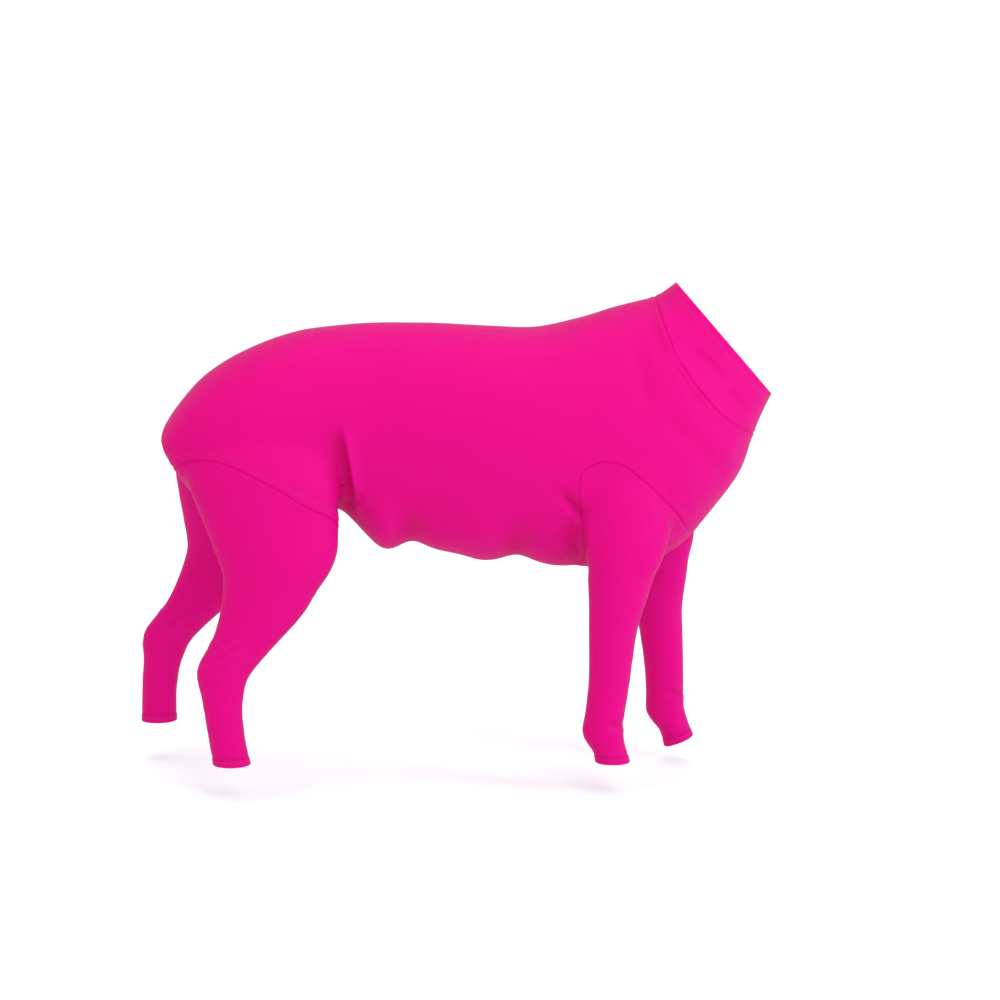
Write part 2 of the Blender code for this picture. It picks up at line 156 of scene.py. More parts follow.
# Hind leg sections. down is a share of HIND_LENGTH, centre and depth of THIGH_DEPTH, width of
# THIGH_WIDTH and out of half HIND_TRACK.
HIND_SECTIONS = [
    # down, centre, depth, width, out
    (0.00, -0.08, 0.80, 0.70, 0.64),
    (0.10, -0.05, 0.98, 0.94, 0.69),
    (0.17, -0.03, 1.03, 1.02, 0.72),
    (0.24, -0.01, 0.95, 0.99, 0.76),
    (0.31, 0.02, 0.88, 0.92, 0.80),
    (0.37, 0.045, 0.82, 0.86, 0.85),
    (0.43, 0.045, 0.72, 0.78, 0.88),
    (0.48, 0.005, 0.64, 0.71, 0.90),
    (0.55, -0.055, 0.565, 0.64, 0.93),
    (0.625, -0.155, 0.465, 0.56, 0.95),
    (0.665, -0.225, 0.435, 0.53, 0.96),
    (0.71, -0.295, 0.400, 0.50, 0.97),
    (0.75, -0.325, 0.340, 0.47, 0.98),
    (0.785, -0.323, 0.300, 0.455, 0.99),
    (0.82, -0.322, 0.272, 0.45, 1.00),
    (0.87, -0.314, 0.257, 0.45, 1.00),
    (0.92, -0.300, 0.250, 0.45, 1.00),
    (0.96, -0.285, 0.252, 0.46, 1.00),
    (1.00, -0.268, 0.258, 0.47, 1.00),
    (1.05, -0.248, 0.266, 0.47, 1.00),
]

# Seams seen from the side. x is a share of BODY_LENGTH and z of BODY_DEPTH.
ARMHOLE = [
    # x, z
    (0.300, -1.060),
    (0.302, -0.985),
    (0.304, -0.880),
    (0.297, -0.745),
    (0.291, -0.655),
    (0.293, -0.560),
    (0.312, -0.520),
    (0.340, -0.506),
    (0.372, -0.520),
    (0.400, -0.565),
    (0.432, -0.625),
    (0.462, -0.690),
    (0.485, -0.755),
    (0.502, -0.810),
    (0.535, -0.850),
    (0.580, -0.880),
]
HAUNCH = [
    # x, z
    (-0.545, -0.590),
    (-0.510, -0.575),
    (-0.480, -0.555),
    (-0.450, -0.524),
    (-0.418, -0.508),
    (-0.382, -0.512),
    (-0.342, -0.540),
    (-0.300, -0.582),
    (-0.262, -0.625),
    (-0.228, -0.672),
    (-0.195, -0.712),
    (-0.172, -0.740),
    (-0.158, -0.790),
    (-0.153, -0.870),
]

# The collar's seam and its rim, each a slanted line from the nape to the throat. x is a share of
# BODY_LENGTH and z of BODY_DEPTH.
COLLAR_SEAM = (0.441, 0.104, 0.630, -0.433)
COLLAR_RIM = (0.480, 0.166, 0.665, -0.283)

# Main folds seen from the side, each along a line. On the left, those that follow a leg swing with it.
# x is a share of BODY_LENGTH, z of BODY_DEPTH, width and height of FOLD_WIDTH and FOLD_HEIGHT. A negative
# height is a valley.
FOLDS = [
    # follows, from_x, from_z, to_x, to_z, width, height
    ("body", -0.085, -0.62, -0.072, -1.00, 1.3, 1.05),
    ("body", -0.030, -0.66, -0.024, -1.00, 1.4, -1.00),
    ("body", 0.045, -0.74, 0.036, -1.00, 1.8, 0.25),
    ("body", 0.115, -0.66, 0.106, -1.05, 2.0, 0.90),
    ("body", 0.172, -0.70, 0.178, -1.05, 1.5, -0.95),
    ("body", 0.240, -0.74, 0.248, -1.05, 1.8, 0.35),
    ("hind", -0.170, -0.33, -0.146, -0.70, 0.75, -0.62),
    ("hind", -0.146, -0.31, -0.119, -0.70, 0.60, 0.50),
    ("front", 0.236, -0.58, 0.285, -0.70, 0.75, -0.50),
    ("front", 0.285, -0.70, 0.292, -0.95, 0.80, -0.75),
    ("body", 0.385, 0.02, 0.420, -0.25, 1.0, -0.30),
    ("body", 0.420, -0.25, 0.560, -0.56, 0.9, -0.35),
]

# Finer folds seen from the side, each through three points. On the left, those that follow a leg swing with
# it. x is a share of BODY_LENGTH and z of BODY_DEPTH, width and height of FOLD_WIDTH and FOLD_HEIGHT.
FINE_FOLDS = [
    # follows, from_x, from_z, by_x, by_z, to_x, to_z, width, height
    ("hind", -0.163, -0.364, -0.147, -0.523, -0.136, -0.723, 0.36, -0.46),
    ("hind", -0.153, -0.340, -0.136, -0.515, -0.126, -0.699, 0.34, 0.42),
    ("hind", -0.120, -0.623, -0.117, -0.683, -0.111, -0.752, 0.34, -0.26),
    ("hind", -0.414, -1.270, -0.391, -1.229, -0.365, -1.193, 0.30, 0.24),
    ("hind", -0.407, -1.298, -0.376, -1.250, -0.344, -1.209, 0.30, 0.28),
    ("hind", -0.394, -1.322, -0.362, -1.282, -0.326, -1.241, 0.32, 0.26),
    ("hind", -0.379, -1.351, -0.353, -1.318, -0.322, -1.290, 0.34, 0.18),
    ("hind", -0.411, -1.284, -0.384, -1.239, -0.354, -1.201, 0.26, -0.18),
    ("hind", -0.401, -1.310, -0.369, -1.266, -0.335, -1.225, 0.26, -0.18),
    ("hind", -0.415, -1.412, -0.398, -1.403, -0.376, -1.412, 0.40, -0.12),
    ("front", 0.261, -0.648, 0.281, -0.692, 0.304, -0.756, 0.40, -0.40),
    ("front", 0.248, -0.660, 0.270, -0.708, 0.293, -0.780, 0.45, 0.24),
    ("front", 0.307, -0.736, 0.311, -0.816, 0.310, -0.905, 0.40, 0.22),
    ("front", 0.323, -1.017, 0.364, -0.997, 0.409, -1.017, 0.70, 0.12),
    ("front", 0.348, -1.533, 0.365, -1.546, 0.382, -1.538, 0.30, 0.28),
    ("front", 0.348, -1.566, 0.365, -1.579, 0.382, -1.574, 0.28, -0.34),
    ("front", 0.352, -1.599, 0.367, -1.611, 0.386, -1.607, 0.30, 0.24),
    ("body", 0.499, -0.059, 0.536, -0.126, 0.569, -0.213, 0.34, -0.24),
    ("body", 0.570, -0.217, 0.591, -0.277, 0.614, -0.329, 0.34, -0.22),
    ("body", 0.433, 0.108, 0.439, -0.023, 0.466, -0.102, 0.60, -0.22),
    ("body", 0.464, -0.100, 0.498, -0.203, 0.541, -0.338, 0.60, -0.26),
    ("body", 0.449, -0.037, 0.487, -0.148, 0.525, -0.282, 0.55, 0.20),
    ("body", 0.599, -0.377, 0.583, -0.465, 0.563, -0.562, 0.50, 0.14),
]

# The share of a finer fold that fades at each end, the points along it, and the height that calls for
# smaller faces
FINE_FADE = 0.30
FINE_POINTS = 14
FINE_FOLD_LEAST = 0.0004

# Sewing. The allowance is the turned-in cloth that lifts both sides of a seam a little.
SEAM_GROOVE = 0.0004
GROOVE_WIDTH = 0.0016
ALLOWANCE_RISE = 0.0006
ALLOWANCE_WIDTH = 0.0026
ALLOWANCE_FROM_SEAM = 0.0034
HEM_RISE = 0.0003
HEM_EASE = 0.0012
SEAM_LAP = 0.00004
EDGE_ROUND = 0.00045
EDGE_ROWS = 2

# Cutting. Faces are smaller within the band beside a cut, points nearer than the snap are moved onto it, and
# a distance grows along the cloth by at least the slope.
FINE_BAND = 0.009
SNAP = 0.0005
LEAST_SLOPE = 0.35

# Slack of the cloth between folds
RIPPLE_SIZE = 0.045
RIPPLE_HEIGHT = 0.00035

# Stitches of the hems: rows of them at these distances in from the edge, and each stitch as rings of points.
# A ring's place is a share of half the stitch's length, its size one of the stitch's width.
HEM_ROWS = (0.0075, 0.0100)
CUFF_STITCH_ROWS = (0.0052,)
STITCH_SIDES = 6
STITCH_RINGS = ((-1, 0.15), (-0.8, 0.75), (0, 1), (0.8, 0.75), (1, 0.15))
STITCH_ARCH = 0.6
SHORTEST_LOOP = 20
STITCH_LENGTH = 0.0021
STITCH_PITCH = 0.0028
STITCH_WIDTH = 0.00055
STITCH_RISE = 0.00022

# Knit and colours. The shades say how far creases, wide folds, seams and cloth seen edge-on go to deep pink:
# painted shade in fold valleys and where the cloth is seen edge-on, and a darker line along the seams. Fold
# ridges go to pale pink, a painted highlight.
PINK = (0.572, 0.0012, 0.154)
DEEP_PINK = (0.390, 0.0002, 0.060)
PALE_PINK = (0.640, 0.0060, 0.230)
MOTTLE = 0.10
CREASE_PAINTED_SHADE = 0.75
COLLAR_CREASE_PAINTED_SHADE = 0.85
WIDE_FOLD_PAINTED_SHADING = 0.35
RIDGE_PAINTED_HIGHLIGHT = 0.5
SEAM_SHADE = 0.18
EDGE_PAINTED_SHADE = 0.75
EDGE_PAINTED_SHADE_POWER = 3
CLOUD_SCALE = 14
CLOUD_ROUGHNESS = 0.12
TWIST_SCALE = 900
WALE_PITCH = 0.00075
COURSE_PITCH = 0.00060
LOOP_LEAN = 0.5
LOOP_SWELL = 0.35
LOOP_HEIGHT = 0.0002
KNIT_BUMP = 0.25
CUFF_BUMP = 0.35
KNIT_ROUGHNESS = 0.46
THREAD_ROUGHNESS = 0.45
KNIT_IOR = 1.12
KNIT_SPECULAR = 0.40
SHEEN_WEIGHT = 0.06
SHEEN_ROUGHNESS = 0.45
SHEEN_TINT = (1.0, 0.10, 0.55, 1)

# The room. The floor runs from behind the camera to a bend, then up.
GROUND = -0.537
FLOOR_WHITE = (0.93, 0.93, 0.93, 1)
FLOOR_ROUGHNESS = 0.9
FLOOR_SPECULAR = 0.1
FLOOR_HALF = 7.0
FLOOR_FRONT = -4.0
BEND_FROM = 3.0
BEND_RADIUS = 2.0
BEND_START = 0.1
BEND_STEPS = 16
BACK_TOP = 7.0
WORLD_LIGHT = 0.92
LAMPS = [
    # name, place, aim, size, power, tint
    ("key_light", (1.2, -2.4, 2.6), (0.1, 0, -0.2), 2.0, 44, (1.0, 1.0, 1.0)),
    ("fill_light", (-2.2, -2.4, 1.6), (0, 0, -0.25), 2.2, 16, (1.0, 1.0, 1.0)),
    ("top_light", (-0.2, 0.3, 2.8), (0, 0, 0), 2.2, 34, (0.78, 0.88, 1.0)),
    ("chest_light", (2.4, -1.2, 0.5), (0.3, 0, -0.2), 0.8, 36, (0.50, 0.90, 1.0)),
]
EYE = (0.0858, -3.0, 0.2973)
AIM = (0.0858, 0.0, -0.2047)
LENS = 94.4


def smooth_rows(rows, steps):
    """The rows of a table with more between them, on a smooth curve through them all."""
    rows = np.array(rows, float)
    padded = np.vstack([2 * rows[0] - rows[1], rows, 2 * rows[-1] - rows[-2]])
    finer = []
    for before, start, end, after in zip(padded, padded[1:], padded[2:], padded[3:]):
        for step in range(steps):
            t = step / steps
            finer.append(
                start
                + 0.5 * t * (end - before)
                + t * t * (before - 2.5 * start + 2 * end - 0.5 * after)
                + t * t * t * (1.5 * (start - end) + 0.5 * (after - before))
            )
    finer.append(rows[-1])
    return np.array(finer)


def loft(name, rings):
    """A closed form through rings of points, with a flat cap at each end."""
    bm = bmesh.new()
    loops = [[bm.verts.new(point) for point in ring] for ring in rings]
    for lower, upper in zip(loops, loops[1:]):
        for i in range(len(lower)):
            j = (i + 1) % len(lower)
            bm.faces.new((lower[i], lower[j], upper[j], upper[i]))
    bm.faces.new(loops[0])
    bm.faces.new(loops[-1])
    bmesh.ops.recalc_face_normals(bm, faces=bm.faces)
    mesh = bpy.data.meshes.new(name)
    bm.to_mesh(mesh)
    bm.free()
    return mesh


def around(across, up):
    """The points of a rounded ring: across and up are its half sizes in its own plane."""
    for i in range(RING_SIDES):
        angle = 2 * math.pi * i / RING_SIDES
        side = math.sin(angle)
        yield math.copysign(abs(side) ** ROUNDNESS, side) * across, math.cos(angle) * up


def body_form():
    rings = []
    for top_x, top_z, low_x, low_z, width, egg in smooth_rows(BODY_SECTIONS, STEPS_PER_ROW):
        top = Vector((top_x * BODY_LENGTH, 0, top_z * BODY_DEPTH + WALL))
        low = Vector((low_x * BODY_LENGTH, 0, low_z * BODY_DEPTH + WALL))
        middle, reach = (top + low) / 2, (top - low) / 2
        half = width * BODY_WIDTH / 2
        rings.append(
            [
                middle + reach * up + Vector((0, across * (1 + egg * up), 0))
                for across, up in around(half, 1)
            ]
        )
    return loft("body_form", rings)


def leg_form(name, leg):
    rings = []
    for down, centre, depth, width, out in smooth_rows(leg["sections"], STEPS_PER_ROW):
        x = leg["x"] + centre * leg["depth"] + leg_shift(leg, down)
        y = leg["side"] * out * leg["track"] / 2
        z = WALL - leg["drop"] - down * leg["length"]
        rings.append(
            [
                Vector((x + along, y + across, z))
                for across, along in around(width * leg["width"] / 2, depth * leg["depth"] / 2)
            ]
        )
    return loft(name, rings)


def leg_shift(leg, down):
    """How far a leg has swung forward, at a share of its length down."""
    return leg["stride"] * max(down, 0) ** leg["ease"]


def swing_at(leg, z):
    """How far a leg has swung forward at a height."""
    return leg_shift(leg, (-z - leg["drop"]) / leg["length"])


def cuff_centre(leg):
    """The middle of the cuff's lower edge, seen from the side."""
    sections = np.array(leg["sections"])
    centre = np.interp(1, sections[:, 0], sections[:, 1])
    x = leg["x"] + centre * leg["depth"] + leg_shift(leg, 1)
    return x, WALL - leg["drop"] - leg["length"]


def make_legs():
    front = {
        "x": SHOULDER_ALONG * BODY_LENGTH,
        "drop": SHOULDER_DOWN * BODY_DEPTH,
        "length": FRONT_LENGTH,
        "depth": FRONT_DEPTH,
        "width": FRONT_WIDTH,
        "track": FRONT_TRACK,
        "sections": FRONT_SECTIONS,
        "seam": ARMHOLE,
        "skirt": FRONT_SKIRT,
        "ease": FRONT_STRIDE_EASE,
    }
    hind = {
        "x": HIP_ALONG * BODY_LENGTH,
        "drop": HIP_DOWN * BODY_DEPTH,
        "length": HIND_LENGTH,
        "depth": THIGH_DEPTH,
        "width": THIGH_WIDTH,
        "track": HIND_TRACK,
        "sections": HIND_SECTIONS,
        "seam": HAUNCH,
        "skirt": HIND_SKIRT,
        "ease": HIND_STRIDE_EASE,
    }
    return {
        ("front", "right"): front | {"side": -1, "stride": 0, "tilt": 0},
        ("front", "left"): front
        | {
            "side": 1,
            "stride": FRONT_STRIDE,
            "tilt": LEFT_FRONT_TILT,
            "length": FRONT_LENGTH + LEFT_FRONT_EXTRA,
        },
        ("hind", "right"): hind | {"side": -1, "stride": 0, "tilt": 0},
        ("hind", "left"): hind
        | {
            "side": 1,
            "stride": -HIND_STRIDE,
            "tilt": 0,
            "length": HIND_LENGTH + LEFT_HIND_EXTRA,
        },
    }


def evaluated_mesh(obj):
    """The object's mesh with its modifiers applied. The object is removed."""
    bpy.context.view_layer.update()
    graph = bpy.context.evaluated_depsgraph_get()
    mesh = bpy.data.meshes.new_from_object(obj.evaluated_get(graph))
    bpy.data.objects.remove(obj)
    return mesh


def cuff_corners(leg, up):
    """The rear and front ends of a line across the leg, at a height above the cuff's lower edge."""
    centre_x, centre_z = cuff_centre(leg)
    rise = math.tan(leg["tilt"])
    height = centre_z + up / math.cos(leg["tilt"])
    rear, front = leg["x"] + leg["skirt"][0], leg["x"] + leg["skirt"][1]
    return (rear, height + (rear - centre_x) * rise), (front, height + (front - centre_x) * rise)


def seam_outline(leg, up):
    """A sleeve seen from the side: its seam, then its lower edge at a height above the cuff's edge."""
    seam = smooth_rows(leg["seam"], STEPS_PER_ROW - 1) * (BODY_LENGTH, BODY_DEPTH)
    seam[:, 0] += [swing_at(leg, z) for z in seam[:, 1]]
    rear, front = cuff_corners(leg, up)
    return np.vstack([seam, front, rear])


def mesh_arrays(mesh):
    """A mesh's points, its normals and its triangles."""
    points = np.zeros(len(mesh.vertices) * 3)
    mesh.vertices.foreach_get("co", points)
    normals = np.zeros(len(mesh.vertices) * 3)
    mesh.vertex_normals.foreach_get("vector", normals)
    mesh.calc_loop_triangles()
    triangles = np.zeros(len(mesh.loop_triangles) * 3, int)
    mesh.loop_triangles.foreach_get("vertices", triangles)
    return points.reshape(-1, 3), normals.reshape(-1, 3), triangles.reshape(-1, 3)


def normals_of(points, triangles):
    """The normal at each point, from the triangles round it."""
    corners = points[triangles]
    faces = np.cross(corners[:, 1] - corners[:, 0], corners[:, 2] - corners[:, 0])
    normals = np.zeros_like(points)
    for corner in range(3):
        np.add.at(normals, triangles[:, corner], faces)
    return normals / np.maximum(np.linalg.norm(normals, axis=1), 1e-12)[:, None]


def grown_form(legs):
    """The closed outer surface of the whole suit, body and legs grown together."""
    bm = bmesh.new()
    bm.from_mesh(body_form())
    for (place, side), leg in legs.items():
        bm.from_mesh(leg_form(f"{place}_{side}_form", leg))
    joined = bpy.data.meshes.new("joined_forms")
    bm.to_mesh(joined)
    bm.free()
    grown = bpy.data.objects.new("grown_form", joined)
    bpy.context.scene.collection.objects.link(grown)
    remesh = grown.modifiers.new("grow_together", "REMESH")
    remesh.mode = "VOXEL"
    remesh.voxel_size = VOXEL
    smooth = grown.modifiers.new("even_out", "SMOOTH")
    smooth.factor = 0.5
    smooth.iterations = SMOOTHING
    return evaluated_mesh(grown)


def along_cloth(distance, slope, normals):
    """A distance in space as one along the cloth, with the direction along the cloth in which it grows."""
    level = slope - (slope * normals).sum(axis=1)[:, None] * normals
    steep = np.maximum(np.linalg.norm(level, axis=1), LEAST_SLOPE)
    return distance / steep, level / steep[:, None]


def outline_distance(flat, outline):
    """How far inside a closed clockwise outline each flat point lies, and which way leads in."""
    best = np.full(len(flat), np.inf)
    inward = np.zeros((len(flat), 2))
    inside = np.zeros(len(flat), bool)
    for start, end in zip(outline, np.roll(outline, -1, axis=0)):
        run = end - start
        share = np.clip((flat - start) @ run / (run @ run), 0, 1)
        away = np.linalg.norm(flat - start - share[:, None] * run, axis=1)
        nearer = away < best
        best[nearer] = away[nearer]
        inward[nearer] = np.array((run[1], -run[0])) / np.linalg.norm(run)
        if run[1] != 0:
            spans = (start[1] > flat[:, 1]) != (end[1] > flat[:, 1])
            crossing = start[0] + (flat[:, 1] - start[1]) * run[0] / run[1]
            inside ^= spans & (flat[:, 0] < crossing)
    return np.where(inside, best, -best), inward


def tightest(*fields):
    """The smallest of several distances at each point, with its direction."""
    distances = np.stack([distance for distance, _ in fields])
    directions = np.stack([direction for _, direction in fields])
    least = distances.argmin(axis=0)
    each = np.arange(distances.shape[1])
    return distances[least, each], directions[least, each]


def less(field, amount):
    """The field with its zero moved inwards by an amount."""
    return field[0] - amount, field[1]


def turned(field):
    """The field of all that lies outside."""
    return -field[0], -field[1]


def collar_field(points, normals, line, bow):
    """How far past a slanted line at the neck each point lies."""
    top = np.array((line[0] * BODY_LENGTH, 0, line[1] * BODY_DEPTH))
    low = np.array((line[2] * BODY_LENGTH, 0, line[3] * BODY_DEPTH))
    down = (low - top) / np.linalg.norm(low - top)
    out = np.array((-down[2], 0, down[0]))
    half = BODY_WIDTH * COLLAR_WIDTH / 2
    past = (points - top) @ out + bow * (points[:, 1] / half) ** 2
    slope = np.tile(out, (len(points), 1))
    slope[:, 1] = 2 * bow * points[:, 1] / half**2
    steep = np.linalg.norm(slope, axis=1)
    return along_cloth(past / steep, slope / steep[:, None], normals)


def sleeve_field(points, normals, leg, up):
    """How far inside a sleeve's outline, which ends at a height above the cuff's edge, each point lies."""
    flat = points[:, [0, 2]]
    distance, inward = outline_distance(flat, seam_outline(leg, up))
    slope = np.stack([inward[:, 0], np.zeros(len(points)), inward[:, 1]], axis=1)
    across = np.tile((0.0, leg["side"], 0.0), (len(points), 1))
    return tightest(
        along_cloth(distance, slope, normals),
        along_cloth(leg["side"] * points[:, 1] - STRIP_WIDTH / 2, across, normals),
    )


def cuff_field(points, normals, leg):
    """How far above the cuff's lower edge each point lies, or far away if it isn't on this leg."""
    centre_x, centre_z = cuff_centre(leg)
    slope = np.tile((-math.sin(leg["tilt"]), 0.0, math.cos(leg["tilt"])), (len(points), 1))
    distance = (points - (centre_x, 0, centre_z)) @ slope[0]
    elsewhere = (leg["side"] * points[:, 1] < 0) | (np.abs(points[:, 0] - centre_x) > leg["depth"])
    distance[elsewhere] = FAR
    return along_cloth(distance, slope, normals)


def opening_field(points, normals):
    """How far outside the opening under the tail each point lies."""
    outline = np.array(list(around(OPENING_WIDTH / 2, OPENING_HEIGHT / 2)))
    outline[:, 1] -= OPENING_DOWN * BODY_DEPTH
    distance, inward = outline_distance(points[:, 1:], outline)
    distance[points[:, 0] > OPENING_FROM * BODY_LENGTH] = -FAR
    slope = np.concatenate([np.zeros((len(points), 1)), inward], axis=1)
    return turned(along_cloth(distance, slope, normals))


def seam_fields(points, normals, legs):
    """The distance from each seam along the cloth, one row for each seam."""
    rows = [collar_field(points, normals, COLLAR_SEAM, COLLAR_BOW)[0]]
    rows += [sleeve_field(points, normals, leg, -REACH_BELOW)[0] for leg in legs.values()]
    return np.array(rows)


def edge_fields(points, normals, legs):
    """The distance from each open edge along the cloth, one row for each edge."""
    rows = [collar_field(points, normals, COLLAR_RIM, 0)[0], opening_field(points, normals)[0]]
    rows += [cuff_field(points, normals, leg)[0] for leg in legs.values()]
    return np.array(rows)


def with_fine_seams(mesh, legs):
    """The form with smaller faces beside its seams and edges."""
    points, normals, _ = mesh_arrays(mesh)
    near = np.abs(seam_fields(points, normals, legs)).min(axis=0) < FINE_BAND
    near |= np.abs(edge_fields(points, normals, legs)).min(axis=0) < FINE_BAND
    near |= np.abs(fine_height(points, legs)) > FINE_FOLD_LEAST
    bm = bmesh.new()
    bm.from_mesh(mesh)
    edges = [e for e in bm.edges if near[e.verts[0].index] and near[e.verts[1].index]]
    bmesh.ops.subdivide_edges(bm, edges=edges, cuts=1, use_grid_fill=True, smooth=0.0)
    bmesh.ops.triangulate(bm, faces=bm.faces)
    bm.to_mesh(mesh)
    bm.free()
    return mesh


def fold_height(points, legs):
    """How far the cloth stands out at each point. Folds that follow a leg fade out at the body's middle."""
    height = np.zeros(len(points))
    for side in ("right", "left"):
        here = (points[:, 1] < 0) == (side == "right")
        side_view = points[here][:, [0, 2]]
        for follows, from_x, from_z, to_x, to_z, width, rise in FOLDS:
            ends = np.array(((from_x, from_z), (to_x, to_z))) * (BODY_LENGTH, BODY_DEPTH)
            if follows != "body":
                leg = legs[follows, side]
                ends[:, 0] += [swing_at(leg, z) for z in ends[:, 1]]
            line = ends[1] - ends[0]
            share = np.clip((side_view - ends[0]) @ line / (line @ line), 0, 1)
            away = np.linalg.norm(side_view - ends[0] - share[:, None] * line, axis=1)
            fade_in = np.clip(share / FOLD_FADE, 0, 1)
            swell = fade_in**2 * (3 - 2 * fade_in) * np.exp(-((away / width / FOLD_WIDTH) ** 2))
            if follows != "body":
                swell *= np.clip(np.abs(points[here, 1]) / STRIP_WIDTH, 0, 1)
            height[here] += rise * FOLD_HEIGHT * swell
    return height


def fine_height(points, legs):
    """How far the finer folds lift the cloth at each point."""
    height = np.zeros(len(points))
    shares = np.linspace(0, 1, FINE_POINTS)
    weights = np.stack([(1 - shares) ** 2, 2 * shares * (1 - shares), shares**2], axis=1)
    for side in ("right", "left"):
        here = (points[:, 1] < 0) == (side == "right")
        side_view = points[here][:, [0, 2]]
        for follows, *row in FINE_FOLDS:
            knots = np.array(row[:6]).reshape(3, 2)
            knots[1] = 2 * knots[1] - (knots[0] + knots[2]) / 2
            curve = weights @ knots * (BODY_LENGTH, BODY_DEPTH)
            if follows != "body":
                curve[:, 0] += [swing_at(legs[follows, side], z) for z in curve[:, 1]]
            best = np.full(len(side_view), np.inf)
            along = np.zeros(len(side_view))
            for i, (start, end) in enumerate(zip(curve, curve[1:])):
                run = end - start
                share = np.clip((side_view - start) @ run / (run @ run), 0, 1)
                away = np.linalg.norm(side_view - start - share[:, None] * run, axis=1)
                nearer = away < best
                best[nearer] = away[nearer]
                along[nearer] = (i + share[nearer]) / (FINE_POINTS - 1)
            fade = np.clip(np.minimum(along, 1 - along) / FINE_FADE, 0, 1)
            swell = fade**2 * (3 - 2 * fade) * np.exp(-((best / row[6] / FOLD_WIDTH) ** 2))
            swell *= np.clip(np.abs(points[here, 1]) / STRIP_WIDTH, 0, 1)
            height[here] += row[7] * FOLD_HEIGHT * swell
    return height


def ripple_height(points):
    """The faint unevenness of stretched cloth."""
    scaled = points / RIPPLE_SIZE
    return RIPPLE_HEIGHT * np.array([noise.noise(Vector(p)) for p in scaled])


def bell(distance, width):
    """1 at no distance, and falling off smoothly over a width."""
    return np.exp(-((distance / width) ** 2))


def sewn_height(points, normals, legs):
    """Grooves at the seams, the lift of the turned-in cloth beside them and the thicker hems."""
    seams = np.abs(seam_fields(points, normals, legs)).min(axis=0)
    height = ALLOWANCE_RISE * bell(seams - ALLOWANCE_FROM_SEAM, ALLOWANCE_WIDTH)
    height -= SEAM_GROOVE * bell(seams, GROOVE_WIDTH)
    for leg in legs.values():
        up = cuff_field(points, normals, leg)[0]
        height += HEM_RISE / (1 + np.exp((up - CUFF_DEPTH) / HEM_EASE * 4))
        height -= SEAM_GROOVE * bell(up - CUFF_DEPTH, GROOVE_WIDTH)
    return height


def worked_form(legs):
    """The suit's whole surface with its folds and seams, as points, normals, triangles and two masks."""
    points, normals, triangles = mesh_arrays(with_fine_seams(grown_form(legs), legs))
    wide, fine = fold_height(points, legs), fine_height(points, legs)
    points = points + normals * (wide + fine + ripple_height(points))[:, None]
    normals = normals_of(points, triangles)
    points = points + normals * sewn_height(points, normals, legs)[:, None]
    normals = normals_of(points, triangles)
    seams = np.abs(seam_fields(points, normals, legs)).min(axis=0)
    for leg in legs.values():
        seams = np.minimum(seams, np.abs(cuff_field(points, normals, leg)[0] - CUFF_DEPTH))
    # The first mask holds painted shade in fold valleys and painted highlight on fold ridges, the second the
    # seams.
    depth = -(wide * WIDE_FOLD_PAINTED_SHADING + fine) / FOLD_HEIGHT
    masks = np.stack([np.clip(depth, -1, 1), bell(seams, GROOVE_WIDTH)], axis=1)
    return points, normals, triangles, masks


def cut_out(form, field):
    """The part of the form where the field is positive, cut cleanly where it passes zero."""
    points, normals, triangles, masks = form
    distance, direction = field
    near = np.abs(distance) < SNAP
    points = points.copy()
    points[near] -= direction[near] * distance[near][:, None]
    distance = np.where(near, 0, distance)
    inside = distance >= 0
    whole = inside[triangles].all(axis=1) & (distance[triangles] > 0).any(axis=1)
    split = ~inside[triangles].all(axis=1) & (distance[triangles] > 0).any(axis=1)
    added, places, shares = {}, [], []

    def on_edge(a, b):
        key = (min(a, b), max(a, b))
        if key not in added:
            added[key] = len(points) + len(places)
            places.append(key)
            shares.append(distance[key[0]] / (distance[key[0]] - distance[key[1]]))
        return added[key]

    pieces = []
    for corners in triangles[split].tolist():
        ring = []
        for a, b in zip(corners, corners[1:] + corners[:1]):
            if inside[a]:
                ring.append(a)
            if inside[a] != inside[b] and distance[a] != 0 and distance[b] != 0:
                ring.append(on_edge(a, b))
        pieces += [(ring[0], ring[i], ring[i + 1]) for i in range(1, len(ring) - 1)]
    triangles = np.vstack([triangles[whole], np.array(pieces).reshape(-1, 3)])
    if places:
        starts, ends = np.array(places).T
        shares = np.array(shares)[:, None]
        points = np.vstack([points, points[starts] * (1 - shares) + points[ends] * shares])
        normals = np.vstack([normals, normals[starts] * (1 - shares) + normals[ends] * shares])
        masks = np.vstack([masks, masks[starts] * (1 - shares) + masks[ends] * shares])
        direction = np.vstack([direction, direction[starts] + direction[ends]])
    used, triangles = np.unique(triangles, return_inverse=True)
    triangles = triangles.reshape(-1, 3)
    normals = normals[used] / np.linalg.norm(normals[used], axis=1)[:, None]
    inward = direction[used] - (direction[used] * normals).sum(axis=1)[:, None] * normals
    inward /= np.maximum(np.linalg.norm(inward, axis=1), 1e-9)[:, None]
    return points[used], normals, triangles, masks[used], inward


def edge_runs(triangles):
    """The directed edges that only one triangle has."""
    edges = np.vstack([triangles[:, [0, 1]], triangles[:, [1, 2]], triangles[:, [2, 0]]])
    keys = np.sort(edges, axis=1)
    _, first, counts = np.unique(keys, axis=0, return_index=True, return_counts=True)
    return edges[first[counts == 1]]


def edge_profile(wall):
    """Depth below the outer face and reach past the cut, for each row of points round a cloth's edge."""
    turns = [math.pi / 2 * step / EDGE_ROWS for step in range(1, EDGE_ROWS + 1)]
    outer = [(EDGE_ROUND * (1 - math.cos(turn)), EDGE_ROUND * math.sin(turn)) for turn in turns]
    return outer + [(wall - deep, reach) for deep, reach in reversed(outer)]


